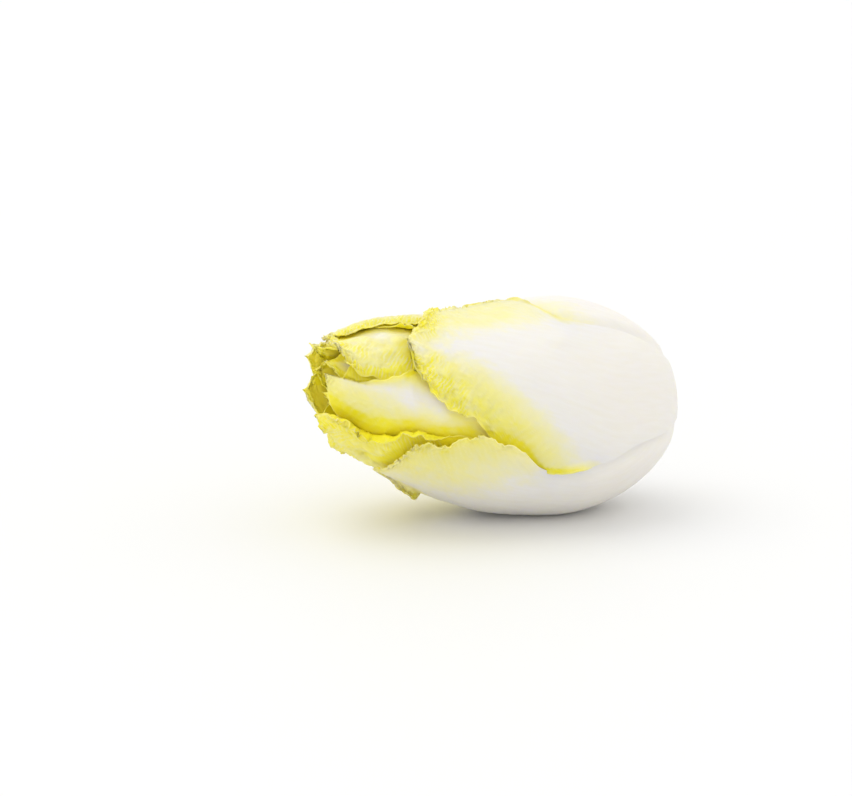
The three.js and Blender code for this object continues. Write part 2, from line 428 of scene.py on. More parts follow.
def half_width(leaf, t):
    foot = mix(leaf.clasp, 1, smooth(within(WIDENS, t)))
    taper = (1 - within(NARROWS, t) ** leaf.tip[0]) ** leaf.tip[1]
    return leaf.width * foot * np.maximum(taper, TIP_BREADTH)


def half_angle(leaf, a, side):
    """Degrees from the midrib to the margin on one side, -1 or 1, before the tip rounds off."""
    lies = head_radius(a) * leaf.level
    plain = np.minimum(leaf.widest, np.degrees(half_width(leaf, along(leaf, a)) / lies))
    middle = facing_at(leaf, a)
    low = middle - flow(leaf.low, a) if leaf.low else plain
    high = flow(leaf.high, a) - middle if leaf.high else plain
    return np.where(side < 0, low, high)


def closing(leaf, a):
    """What the rounding of its tip leaves of a leaf's breadth."""
    late = within((leaf.reach - leaf.closes, leaf.reach), a)
    return np.sqrt(np.maximum(0, 1 - late ** 2)) + TIP_BREADTH


def thickness(leaf, t, across):
    rib = mix(BASE_THICKNESS, TIP_THICKNESS, t) * leaf.fleshy
    return mix(rib, MARGIN_THICKNESS, clamp(np.abs(across)) ** THINNING_POWER)


def past_edge(leaf, a, angle):
    """Millimetres beyond the leaf's margin, negative on the leaf."""
    off = turn(angle - facing_at(leaf, a))
    side = np.sign(off)
    scale = radians(1) * leaf.level

    def arc(at):
        return half_angle(leaf, at, side) * scale * head_radius(at)

    slant = (arc(a + 1) - arc(a - 1)) / 2
    return (np.abs(off) * scale * head_radius(a) - arc(a)) / np.hypot(1, slant)


def beyond(leaf, a, angle):
    """Millimetres beyond the leaf's outline, at its margins or its tip."""
    off = turn(angle - facing_at(leaf, a))
    across = clamp(np.abs(off) / half_angle(leaf, a, np.sign(off)))
    falls_back = np.where(off < 0, *leaf.corners) * across ** CORNER_POWER
    return np.maximum(past_edge(leaf, a, angle), a - leaf.reach + falls_back)


def cover(leaf, a, angle):
    side = (past_edge(leaf, a, angle) - COVER_MARGIN) / COVER_RAMP
    foot = (leaf.foot - a) / FOOT_RAMP
    tip = (a - leaf.reach - COVER_MARGIN) / TIP_RAMP
    return (1 - smooth(side)) * (1 - smooth(foot)) * (1 - smooth(tip))


def takes(leaf, a, angle):
    off = turn(angle - facing_at(leaf, a))
    across = off / half_angle(leaf, a, np.sign(off))
    return cover(leaf, a, angle) * (thickness(leaf, along(leaf, a), across) + GAP)


def lies_over(other, k, a):
    """1 where the other leaf lies over leaf k. The front and under leaves change places part of the way along."""
    swapped = smooth(within(SWAPS, a))
    if (other, k) == (FRONT, UNDER):
        return 1 - swapped
    if (other, k) == (UNDER, FRONT):
        return swapped
    return np.full_like(a, float(other < k))


def lying(k, a, angle):
    """Radius of leaf k's outside, how much the leaves over it squeeze it, and how open to view it is."""
    taken = [takes(leaf, a, angle) for leaf in LEAVES]
    room = head_radius(a) - core_radius(a) - GAP
    fill = room / sum(taken)
    loose = smooth(within(LOOSENS, a))
    squeeze = mix(fill, np.minimum(1, fill), loose)
    spare = np.maximum(0, room - sum(taken)) * CLOSES_IN * loose
    above = np.zeros_like(a)
    opened = np.ones_like(a)
    for other, leaf in enumerate(LEAVES[:max(k, UNDER + 1)]):
        if other != k:
            over = lies_over(other, k, a)
            above = above + over * taken[other]
            opened = opened * mix(1, smooth(beyond(leaf, a, angle) / OPENS_OVER), over)
    depth = above * squeeze + spare * (above / sum(taken)) ** 2
    return head_radius(a) - depth, squeeze, opened


def leaf_sheet(k):
    """The outside of leaf k as a grid of points, with what its finish needs to know at each."""
    leaf = LEAVES[k]
    columns, rows = leaf.cells
    u = np.sin(np.linspace(-1, 1, columns + 1) * COLUMN_CROWDING) / sin(COLUMN_CROWDING)
    t = 1 - (1 - np.linspace(0, 1, rows + 1)) ** leaf.crowding
    t, u = np.meshgrid(mix(t, smooth(t), ROW_EVENNESS), u, indexing="ij")
    side = np.where(u < 0, -1.0, 1.0)
    corner = np.where(u < 0, *leaf.corners) * smooth(within(CORNERS_FROM, t)) * np.abs(u) ** CORNER_POWER
    length = leaf.reach - leaf.foot
    a = leaf.foot + t * (length - corner)
    ragged = leaf.ragged * smooth(within(TEETH_FROM, t))
    seed = leaf.seed * SEEDS_PER_LEAF
    tooth = np.where(u < 0, ripple(seed + 1, a, TOOTH_LENGTH), ripple(seed + 2, a, TOOTH_LENGTH))
    tip_tooth = TIP_TOOTH_HEIGHT * ragged * ripple(seed + 3, u * leaf.width, TIP_TOOTH_LENGTH)
    a = a + tip_tooth * smooth(within(TIP_TEETH_FROM, t))
    radius_here = head_radius(a)
    breadth = np.radians(half_angle(leaf, a, side)) * closing(leaf, a) * radius_here
    breadth = np.maximum(breadth + ragged * tooth * np.abs(u) ** TOOTH_POWER, LEAST_BREADTH)
    from_margin = (1 - np.abs(u)) * breadth

    angle = facing_at(leaf, a) + side * np.degrees((breadth - from_margin) / radius_here)
    radius, squeeze, opened = lying(k, a, angle)

    # A margin that is free rolls outward over the last few millimetres.
    bend = np.where(side < 0, flow(leaf.curl_low, a), flow(leaf.curl_high, a))
    waver = 1 + ROLL_WAVER * ripple(seed + 4, a + SIDES_APART * side, ROLL_WAVER_LENGTH)
    bend = np.radians(np.maximum(0, bend * waver)) * opened + LEAST_ROLL
    width = np.minimum(leaf.curl_width, breadth * ROLL_SHARE)
    rolled = np.maximum(0, width - from_margin)
    curve = bend / width
    out = (1 - np.cos(curve * rolled)) / curve
    reached = breadth - from_margin - rolled + np.sin(curve * rolled) / curve
    angle = facing_at(leaf, a) + side * np.degrees(reached / radius_here)

    lengthwise, crosswise = LUMP_LENGTHS
    lump = LUMP_HEIGHT * ripple(seed + 5, a, lengthwise) * ripple(seed + 6, angle * LUMP_ROUND, crosswise)
    lump = lump * smooth(within(LUMPS_FROM, a)) * opened
    tip_lift = leaf.lift * opened * smooth(within(LIFTS_FROM, t))
    points = place(a, angle, radius + out + lump + tip_lift)

    down = np.gradient(points, axis=0)
    over = np.gradient(points, axis=1)
    normal = unit(np.cross(down, over))
    outward = place(a, angle, radius + 1) - place(a, angle, radius)
    normal *= np.sign(np.sum(normal[rows // 2, columns // 2] * outward[rows // 2, columns // 2]))
    # Where the columns run together at the tip, the grid says too little about which way it faces.
    normal = unit(mix(outward, normal, smooth((breadth - NARROW) / NARROW)[..., None]))

    thick = np.minimum(thickness(leaf, along(leaf, a), u) * squeeze, THICKEST)
    thinning = smooth(1 - from_margin / THINS_OVER) * smooth(within(THINS_FROM, a))
    thick = np.maximum(mix(thick, MARGIN_THICKNESS, thinning), MARGIN_THICKNESS)
    across = side * (breadth - from_margin)
    facts = {
        "across": across,
        "along": t * length,
        "edge": np.minimum(from_margin, (1 - t) * length),
        "gold": gold_share(leaf, t, across, from_margin),
        "open": opened,
        "tip": smooth(within(CRINKLES_FROM, a)) * leaf.crumple,
    }
    return points, normal, thick, facts


def gold_share(leaf, t, across, from_margin):
    """0 on the white midrib and foot of a leaf, rising to 1 on the yellow blade along its margins and tip."""
    share = np.abs(across) / leaf.width * np.where(across > 0, leaf.lean, 1)
    blade = smooth((share - flow(leaf.rib, t) + GOLD_LEAD) / GOLD_SPREAD)
    rises = smooth((t - leaf.gold_from) / GOLD_RISE)
    rim = smooth(1 - from_margin / leaf.rim) * smooth((t - leaf.gold_from - RIM_LAG) / RIM_RISE) * leaf.rim_gold
    strength = mix(*leaf.gold, smooth(0.5 + across / SIDES_BLEND))
    start, most = leaf.tip_gold
    tip = most * smooth((t - start) / (1 - start)) * mix(PALE_MIDRIB, 1, smooth(share / PALE_MIDRIB))
    return clamp(np.maximum((blade * rises + rim) * strength, tip))


# ---- Meshes ----
def mesh_object(name, points, faces, attributes=None):
    """A mesh object from points in millimetres, with its place in its mesh."""
    mesh = bpy.data.meshes.new(name)
    mesh.from_pydata((np.asarray(points) * MM).tolist(), [], faces)
    for key, values in (attributes or {}).items():
        values = np.asarray(values, dtype=np.float32)
        if values.ndim == 2:
            layer = mesh.attributes.new(key, "FLOAT_VECTOR", "POINT")
            layer.data.foreach_set("vector", values.ravel())
        else:
            layer = mesh.attributes.new(key, "FLOAT", "POINT")
            layer.data.foreach_set("value", values)
    mesh.shade_smooth()
    piece = bpy.data.objects.new(name, mesh)
    bpy.context.scene.collection.objects.link(piece)
    return piece


def sharpen_rim(mesh, rows, columns):
    """Marks the edges where a shell's faces meet its thin rim."""
    across = columns + 1
    count = (rows + 1) * across
    ends = np.empty(len(mesh.edges) * 2, dtype=np.int32)
    mesh.edges.foreach_get("vertices", ends)
    ends = ends.reshape(-1, 2)
    row, column = ends % count // across, ends % count % across
    rim = (row == 0) | (row == rows) | (column == 0) | (column == columns)
    sharp = rim.all(axis=1) & (ends[:, 0] // count == ends[:, 1] // count)
    mesh.attributes.new("sharp_edge", "BOOLEAN", "EDGE").data.foreach_set("value", sharp)


def shell_faces(rows, columns):
    """Faces of a closed shell: an outer grid, an inner grid after it, and a rim between them."""
    count = (rows + 1) * (columns + 1)

    def at(row, column, inner):
        return inner * count + row * (columns + 1) + column

    faces = []
    for row in range(rows):
        for column in range(columns):
            ring = [(row, column), (row, column + 1), (row + 1, column + 1), (row + 1, column)]
            faces.append([at(*corner, 0) for corner in ring])
            faces.append([at(*corner, 1) for corner in reversed(ring)])
    border = [(0, column) for column in range(columns)]
    border += [(row, columns) for row in range(rows)]
    border += [(rows, column) for column in range(columns, 0, -1)]
    border += [(row, 0) for row in range(rows, 0, -1)]
    for here, after in zip(border, border[1:] + border[:1]):
        faces.append([at(*after, 0), at(*here, 0), at(*here, 1), at(*after, 1)])
    return faces


def leaf_object(k):
    points, normal, thick, facts = leaf_sheet(k)
    rows, columns = points.shape[0] - 1, points.shape[1] - 1
    inner = points - normal * thick[..., None]
    both = np.concatenate([points.reshape(-1, 3), inner.reshape(-1, 3)])
    both[:, 2] = np.maximum(both[:, 2], 0)
    twice = {key: np.tile(values.ravel(), 2) for key, values in facts.items()}
    twice["outward"] = np.tile(normal.reshape(-1, 3), (2, 1))
    twice["inside"] = np.repeat([0.0, 1.0], points.size // 3)
    sheet = mesh_object(LEAVES[k].name + "_sheet", both, shell_faces(rows, columns), twice)
    sharpen_rim(sheet.data, rows, columns)
    return sheet


# ---- Node trees ----
class Sketch:
    """Adds nodes to a tree from left to right, so that a formula in script stays readable."""

    def __init__(self, tree):
        self.tree = tree
        self.count = 0

    def node(self, kind, **settings):
        node = self.tree.nodes.new(kind)
        node.location = (190 * (self.count // 6), -210 * (self.count % 6))
        self.count += 1
        for key, value in settings.items():
            setattr(node, key, value)
        return node

    def feed(self, socket, value):
        if isinstance(value, bpy.types.NodeSocket):
            self.tree.links.new(value, socket)
        else:
            socket.default_value = with_alpha(value) if isinstance(value, Color) else value

    def fed(self, node, *values):
        """Feeds a node's first inputs in order and returns its first output."""
        for socket, value in zip(node.inputs, values):
            self.feed(socket, value)
        return node.outputs[0]

    def math(self, operation, *values, limit=False):
        return self.fed(self.node("ShaderNodeMath", operation=operation, use_clamp=limit), *values)

    def chain(self, operation, *values):
        total = values[0]
        for value in values[1:]:
            total = self.math(operation, total, value)
        return total

    def times(self, *values):
        return self.chain("MULTIPLY", *values)

    def plus(self, *values):
        return self.chain("ADD", *values)

    def minus(self, *values):
        return self.chain("SUBTRACT", *values)

    def over(self, *values):
        return self.chain("DIVIDE", *values)

    def scaled(self, vector, factor):
        node = self.node("ShaderNodeVectorMath", operation="SCALE")
        self.feed(node.inputs["Scale"], factor)
        return self.fed(node, vector)

    def joined(self, x, y, z=0.0):
        return self.fed(self.node("ShaderNodeCombineXYZ"), x, y, z)

    def ramp(self, value, low, high, to_low=0.0, to_high=1.0):
        node = self.node("ShaderNodeMapRange", interpolation_type="SMOOTHSTEP")
        return self.fed(node, value, low, high, to_low, to_high)

    def noise(self, vector, scale, detail=2.0, roughness=0.5):
        node = self.node("ShaderNodeTexNoise")
        for key, value in zip(("Vector", "Scale", "Detail", "Roughness"), (vector, scale, detail, roughness)):
            self.feed(node.inputs[key], value)
        return node.outputs[0]

    def stripes(self, run, spacing, sharpness):
        """Ridges this far apart, from 0 between them to 1 on their crests."""
        wave = self.math("PINGPONG", self.over(run, spacing), 0.5)
        return self.math("POWER", self.times(wave, 2.0), sharpness)

    def mixed(self, factor, a, b):
        node = self.node("ShaderNodeMix", data_type="RGBA")
        for index, value in ((0, factor), (6, a), (7, b)):
            self.feed(node.inputs[index], value)
        return node.outputs[2]


class Relief(Sketch):
    """A geometry tree that moves a mesh's points and gives it a material. Its inputs are named."""

    def __init__(self, name, numbers):
        tree = bpy.data.node_groups.new(name, "GeometryNodeTree")
        super().__init__(tree)
        new_socket = tree.interface.new_socket
        new_socket("Geometry", in_out="INPUT", socket_type="NodeSocketGeometry")
        self.sockets = {}
        for key, value in numbers.items():
            socket = new_socket(key, in_out="INPUT", socket_type="NodeSocketFloat")
            socket.default_value = value
            self.sockets[key] = socket.identifier
        self.sockets["Material"] = new_socket("Material", in_out="INPUT", socket_type="NodeSocketMaterial").identifier
        new_socket("Geometry", in_out="OUTPUT", socket_type="NodeSocketGeometry")
        self.start = self.node("NodeGroupInput")

    def input(self, key):
        return self.start.outputs[key]

    def attribute(self, key, kind="FLOAT"):
        node = self.node("GeometryNodeInputNamedAttribute", data_type=kind)
        node.inputs["Name"].default_value = key
        return node.outputs["Attribute"]

    def finish(self, offset, stored):
        move = self.node("GeometryNodeSetPosition")
        self.feed(move.inputs["Geometry"], self.start.outputs["Geometry"])
        self.feed(move.inputs["Offset"], offset)
        geometry = move.outputs["Geometry"]
        for key, value in stored.items():
            store = self.node("GeometryNodeStoreNamedAttribute", data_type="FLOAT", domain="POINT")
            self.feed(store.inputs["Geometry"], geometry)
            store.inputs["Name"].default_value = key
            self.feed(store.inputs["Value"], value)
            geometry = store.outputs["Geometry"]
        real = self.node("GeometryNodeRealizeInstances")
        self.feed(real.inputs["Geometry"], geometry)
        paint = self.node("GeometryNodeSetMaterial")
        self.feed(paint.inputs["Geometry"], real.outputs["Geometry"])
        self.feed(paint.inputs["Material"], self.input("Material"))
        end = self.node("NodeGroupOutput")
        self.feed(end.inputs["Geometry"], paint.outputs["Geometry"])


def leaf_relief():
    """Veins, crinkles and frilled margins of a leaf, drawn in the leaf's own millimetres."""
    relief = Relief("leaf_relief", {
        "Seed": 1.0,
        "Vein spacing": 2.6,
        "Vein depth": 0.5,
        "Crinkle size": 4.0,
        "Crinkle depth": 0.35,
        "Blister size": 3.4,
        "Blister depth": 0.42,
        "Fold depth": 5.0,
        "Frill length": 9.5,
        "Frill height": 1.6,
    })
    times, plus, minus, ramp, noise = relief.times, relief.plus, relief.minus, relief.ramp, relief.noise
    across, lengthwise, edge = (relief.attribute(key) for key in ("across", "along", "edge"))
    gold, opened, tip = (relief.attribute(key) for key in ("gold", "open", "tip"))
    spot = relief.joined(across, lengthwise, times(relief.input("Seed"), SEEDS_APART))
    shown = times(gold, plus(times(opened, 0.75), 0.25), ramp(edge, 0.3, 3.0, 0.15, 1.0))

    # Side veins leave the midrib at a slant and run towards the margin and the tip.
    wobble = times(noise(spot, VEIN_WOBBLE), VEIN_WANDER)
    run = minus(plus(lengthwise, wobble), times(relief.math("ABSOLUTE", across), VEIN_SLANT))
    ridge = relief.stripes(run, relief.input("Vein spacing"), VEIN_SHARPNESS)
    ridge = times(ridge, ramp(noise(spot, 0.3), 0.3, 0.6))
    veins = times(ridge, shown, relief.input("Vein depth"))

    # Between the veins the blade is puckered.
    fine = noise(spot, relief.over(1.0, relief.input("Crinkle size")), 3.0, 0.6)
    pucker = times(minus(fine, 0.5), relief.input("Crinkle depth"), shown, 2.0)

    # Towards the tip the blade folds and blisters between a net of veins.
    net = relief.node("ShaderNodeTexVoronoi", feature="DISTANCE_TO_EDGE", voronoi_dimensions="2D")
    warp = relief.scaled(relief.joined(noise(spot, 0.2), noise(spot, 0.23)), NET_WARP)
    warped = relief.fed(relief.node("ShaderNodeVectorMath", operation="ADD"), spot, warp)
    relief.feed(net.inputs["Vector"], warped)
    relief.feed(net.inputs["Scale"], relief.over(1.0, relief.input("Blister size")))
    full = times(gold, tip, plus(opened, 0.3))
    quiet = times(full, ramp(edge, 0.2, 2.5, 0.1, 1.0))
    bulge = times(ramp(net.outputs["Distance"], 0.0, 0.35), quiet, relief.input("Blister depth"))
    folds = times(minus(noise(spot, FOLD_PACE, 1.0), 0.5), full, relief.input("Fold depth"))

    # A free margin waves outward.
    sway = times(noise(spot, 0.09), FRILL_SWAY)
    turns = plus(relief.over(lengthwise, relief.input("Frill length")), sway)
    swing = times(plus(relief.math("SINE", times(turns, 2 * pi)), 1.0), 0.5)
    swing = times(swing, ramp(noise(spot, 0.11, 1.0), 0.35, 0.65, 0.25, 1.25))
    frill = times(swing, ramp(edge, FRILL_REACH, 0.0), relief.input("Frill height"), opened, ramp(gold, 0.25, 0.8))

    total = plus(veins, pucker, frill, plus(bulge, folds))
    offset = relief.scaled(relief.attribute("outward", "FLOAT_VECTOR"), times(total, MM))
    lines = times(ramp(net.outputs["Distance"], 0.12, 0.0, 0.0, 0.4), full)
    relief.finish(offset, {"vein": relief.math("MAXIMUM", times(ridge, shown), lines)})
    return relief


def apply_relief(piece, relief, name, values):
    """Runs a geometry tree on a piece and returns the plain mesh that comes out, as a new object."""
    modifier = piece.modifiers.new("relief", "NODES")
    modifier.node_group = relief.tree
    for key, value in values.items():
        modifier[relief.sockets[key]] = value
    evaluated = piece.evaluated_get(bpy.context.evaluated_depsgraph_get())
    mesh = bpy.data.meshes.new_from_object(evaluated)
    piece.modifiers.remove(modifier)
    mesh.name = name
    bpy.data.objects.remove(piece)
    done = bpy.data.objects.new(name, mesh)
    bpy.context.scene.collection.objects.link(done)
    return done


# ---- Materials ----
def shade(red, green, blue):
    """A colour given as it looks, 0 to 255, made linear."""
    return tuple((value / 255) ** GAMMA for value in (red, green, blue))


def with_alpha(colour):
    return (*tuple(colour)[:3], 1.0)


def shader(name, roughness, subsurface, radius):
    material = bpy.data.materials.new(name)
    material.use_nodes = True
    tree = material.node_tree
    tree.nodes.clear()
    sketch = Sketch(tree)
    surface = sketch.node("ShaderNodeBsdfPrincipled")
    output = sketch.node("ShaderNodeOutputMaterial")
    tree.links.new(surface.outputs[0], output.inputs["Surface"])
    for key, value in {
        "Roughness": roughness,
        "Subsurface Weight": subsurface,
        "Subsurface Radius": radius,
        "Subsurface Scale": MM,
        "Specular IOR Level": 0.4,
    }.items():
        surface.inputs[key].default_value = value
    return material, sketch, surface


def attributes(sketch, *keys):
    return [sketch.node("ShaderNodeAttribute", attribute_name=key).outputs["Fac"] for key in keys]


def add_bump(sketch, surface, height, strength, distance):
    bump = sketch.node("ShaderNodeBump")
    bump.inputs["Strength"].default_value = strength
    bump.inputs["Distance"].default_value = distance
    sketch.feed(bump.inputs["Height"], height)
    sketch.feed(surface.inputs["Normal"], bump.outputs["Normal"])


def leaf_tissue(name, looks):
    """Waxy white flesh that turns cream and then lemon yellow towards the blade, with paler veins, and a deeper
    yellow painted as shade under covering margins and inside the tip.
    """
    material, sketch, surface = shader(name, 0.42, 0.4, (2.6, 2.3, 0.7))
    times, plus, minus, ramp, noise = sketch.times, sketch.plus, sketch.minus, sketch.ramp, sketch.noise
    across, lengthwise, gold, vein, edge = attributes(sketch, "across", "along", "gold", "vein", "edge")
    inside, opened, tip = attributes(sketch, "inside", "open", "tip")
    spot = sketch.joined(across, lengthwise)
    streak = noise(sketch.joined(times(across, 6.0), lengthwise), 0.12, 3.0)
    patchy = times(minus(noise(spot, 0.22, 3.0), 0.5), sketch.math("MULTIPLY_ADD", tip, 0.6, 0.4))
    drift = plus(patchy, gold, times(minus(streak, 0.5), 0.18))
    drift = times(drift, ramp(gold, 0.0, 0.12))

    # Fine strokes run beside the side veins like the barbs of a feather.
    run = sketch.math("MULTIPLY_ADD", sketch.math("ABSOLUTE", across), -VEIN_SLANT, lengthwise)
    run = sketch.math("MULTIPLY_ADD", noise(spot, VEIN_WOBBLE), BARB_WANDER, run)
    near = times(ramp(edge, *BARB_BAND), ramp(edge, 0.0, 2.0))
    near = times(near, ramp(noise(spot, 0.2), 0.36, 0.56), ramp(tip, 0.38, 0.8))
    barb = times(sketch.stripes(run, looks.barb_spacing, BARB_SHARPNESS), near, ramp(gold, 0.2, 0.5))
    between = times(minus(near, barb), ramp(gold, 0.2, 0.5, 0.0, 0.35))

    # Painted shade: where another leaf's margin covers a leaf, and on the inner faces, most of all near the tip, the
    # yellow is painted deeper, as shade in these hollows.
    painted_shade = sketch.math("MAXIMUM", times(inside, 0.4), ramp(opened, 1.0, 0.3))
    drift = plus(drift, between, times(painted_shade, ramp(gold, 0.1, 0.6, 0.0, 0.3)))
    # Painted shade inside the tip: the inner faces near the tip are painted at least this deep a yellow.
    painted_tip_shade = times(inside, sketch.math("MULTIPLY", tip, 2.0, limit=True))
    drift = sketch.math("MAXIMUM", drift, painted_tip_shade)

    colour = sketch.mixed(ramp(streak, 0.2, 0.8), looks.white, looks.shadow_white)
    colour = sketch.mixed(ramp(drift, *CREAM_AT), colour, looks.cream)
    colour = sketch.mixed(ramp(drift, *YELLOW_AT), colour, looks.yellow)
    colour = sketch.mixed(ramp(drift, *DEEP_YELLOW_AT), colour, looks.deep_yellow)
    outside = minus(1.0, inside)
    vein = sketch.math("MAXIMUM", times(vein, 0.8), barb)
    pale = times(sketch.math("MULTIPLY", vein, 0.95, limit=True), outside)
    rim = times(ramp(edge, 0.9, 0.2), ramp(gold, 0.2, 0.6, 0.0, 0.3), outside)
    colour = sketch.mixed(pale, colour, looks.pale_yellow)
    colour = sketch.mixed(rim, colour, looks.pale_yellow)
    sketch.feed(surface.inputs["Base Color"], colour)

    sketch.feed(surface.inputs["Roughness"], ramp(noise(spot, 0.35), 0.3, 0.7, *SHEEN))
    height = plus(times(streak, 0.4), noise(spot, 1.6, 3.0, 0.6))
    height = times(height, ramp(gold, 0.1, 0.7, 0.06, 1.0))
    height = sketch.math("MULTIPLY_ADD", barb, 1.2, height)
    add_bump(sketch, surface, height, 0.2, 0.2 * MM)
    return material


def cut_tissue(name, looks):
    """Cut stem: damp cream flesh with a browned ring of sap vessels and a darker, dried rim."""
    material, sketch, surface = shader(name, 0.5, 0.3, (3.0, 2.2, 1.2))
    ring, = attributes(sketch, "ring")
    spot = sketch.node("ShaderNodeTexCoord").outputs["Object"]
    speck = sketch.noise(spot, 420.0, 3.0, 0.6)
    colour = sketch.mixed(sketch.ramp(sketch.noise(spot, 120.0), 0.3, 0.7), looks.flesh, looks.cream)
    brown = sketch.times(ring, sketch.ramp(speck, 0.35, 0.7, 0.25, 0.9))
    colour = sketch.mixed(brown, colour, looks.browned)
    sketch.feed(surface.inputs["Base Color"], colour)
    add_bump(sketch, surface, speck, 0.4, 0.4 * MM)
    return material


# ---- Settings ----
LENGTH = {"unit": "LENGTH", "subtype": "DISTANCE"}
ANGLE = {"unit": "ROTATION", "subtype": "ANGLE"}


def number(label, text, value, **kind):
    return bpy.props.FloatProperty(name=label, description=text, default=value, **kind)


def tint(label, text, *value):
    return bpy.props.FloatVectorProperty(
        name=label, description=text, subtype="COLOR", size=3, min=0, max=1, default=shade(*value)
    )


class EndiveLeafSettings(bpy.types.PropertyGroup):
    """Sizes, in millimetres, and colours of the leaves."""

    vein_spacing: number("Vein spacing", "From one side vein to the next", 2.6, min=0.5)
    vein_depth: number("Vein depth", "How far a side vein stands proud", 0.5, min=0)
    barb_spacing: number("Barb spacing", "From one fine stroke to the next", 1.5, min=0.5)
    crinkle_size: number("Crinkle size", "Breadth of a pucker in the blade", 4, min=1)
    crinkle_depth: number("Crinkle depth", "Depth of a pucker", 0.35, min=0)
    blister_size: number("Blister size", "Breadth of a blister near the tip", 3.4, min=1)
    blister_depth: number("Blister depth", "Height of a blister", 0.42, min=0)
    frill_length: number("Frill length", "Length of one wave of a free margin", 9.5, min=1)
    white: tint("White", "Flesh of the midrib and foot", 239, 235, 229)
    shadow_white: tint("Shaded white", "Fine streaks in the white flesh", 237, 232, 222)
    cream: tint("Cream", "Where white turns to yellow", 242, 235, 192)
    pale_yellow: tint("Pale yellow", "Veins and thin margins of the blade", 250, 240, 172)
    yellow: tint("Yellow", "The blade", 246, 235, 144)
    # Deep yellow is the blade at its strongest, and also the painted shade in covered hollows and on the inner faces
    # near the tip.
    deep_yellow: tint("Deep yellow", "The blade at its strongest", 249, 234, 46)


class EndiveStemSettings(bpy.types.PropertyGroup):
    """Size and colours of the cut stem."""

    bedding: number("Bedding", "How deep the stem stays under the skin of the leaf bases", 0.001, min=0, **LENGTH)
    inset: number("Inset", "From the outside of the leaves' feet to the rim of the cut face", 0.0007, **LENGTH)
    flesh: tint("Flesh", "Fresh cut flesh", 238, 232, 214)
    cream: tint("Cream", "Drier flesh", 230, 220, 190)
    browned: tint("Browned", "Ring of sap vessels and the dried rim", 176, 140, 88)


class EndiveStageSettings(bpy.types.PropertyGroup):
    """Floor, lights and camera."""

    floor_size: number("Floor size", "Length of each side of the floor", 60.0, **LENGTH)
    floor_colour: tint("Floor", "Colour of the floor", 238, 238, 237)
    daylight: number("Daylight", "Strength of the even light from all round", 1.0, min=0)
    azimuth: number("Azimuth", "Direction the camera looks in: 0 is along +Y", radians(-18), **ANGLE)
    elevation: number("Elevation", "How far above level the camera stands", radians(12), **ANGLE)
    distance: number("Distance", "From the camera to the place it looks at", 0.645, **LENGTH)
    aside: number("Aside", "How far left of the head's middle the camera looks", 0.0215, **LENGTH)
    above: number("Above", "How far over the head's middle the camera looks", 0.003, **LENGTH)
    key_strength: number("Key light", "Strength of the broad light from above", 0.62, min=0)
    softness: number("Softness", "Angle over which the light from above is spread", radians(50), **ANGLE)


# ---- Operators ----
def hand_in(piece, node):
    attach(piece, BODY)
    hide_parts(node)


def build_leaves(context, indexes, tissue_name):
    looks = context.scene.endive_leaves
    relief = leaf_relief()
    tissue = leaf_tissue(tissue_name, looks)
    for k in indexes:
        leaf = LEAVES[k]
        piece = apply_relief(leaf_object(k), relief, leaf.name + "_skin", {
            "Seed": float(leaf.seed),
            "Vein spacing": looks.vein_spacing,
            "Vein depth": looks.vein_depth * leaf.crumple,
            "Crinkle size": looks.crinkle_size,
            "Crinkle depth": looks.crinkle_depth * leaf.crumple,
            "Blister size": looks.blister_size,
            "Blister depth": looks.blister_depth,
            "Fold depth": leaf.folds,
            "Frill length": looks.frill_length,
            "Frill height": leaf.frill,
            "Material": tissue,
        })
        hand_in(piece, leaf.name)


class ENDIVE_OT_outer_leaves(bpy.types.Operator):
    """Build the eight outer leaves, which wrap the head"""

    bl_idname = "endive.outer_leaves"
    bl_label = "Outer leaves"

    def execute(self, context):
        build_leaves(context, range(len(OUTER_LEAVES)), "outer_leaf_tissue")
        return {"FINISHED"}


class ENDIVE_OT_heart_leaves(bpy.types.Operator):
    """Build the heart leaves, which fill the head and show at its open tip"""

    bl_idname = "endive.heart_leaves"
    bl_label = "Heart leaves"

    def execute(self, context):
        build_leaves(context, range(len(OUTER_LEAVES), len(LEAVES)), "heart_leaf_tissue")
        return {"FINISHED"}


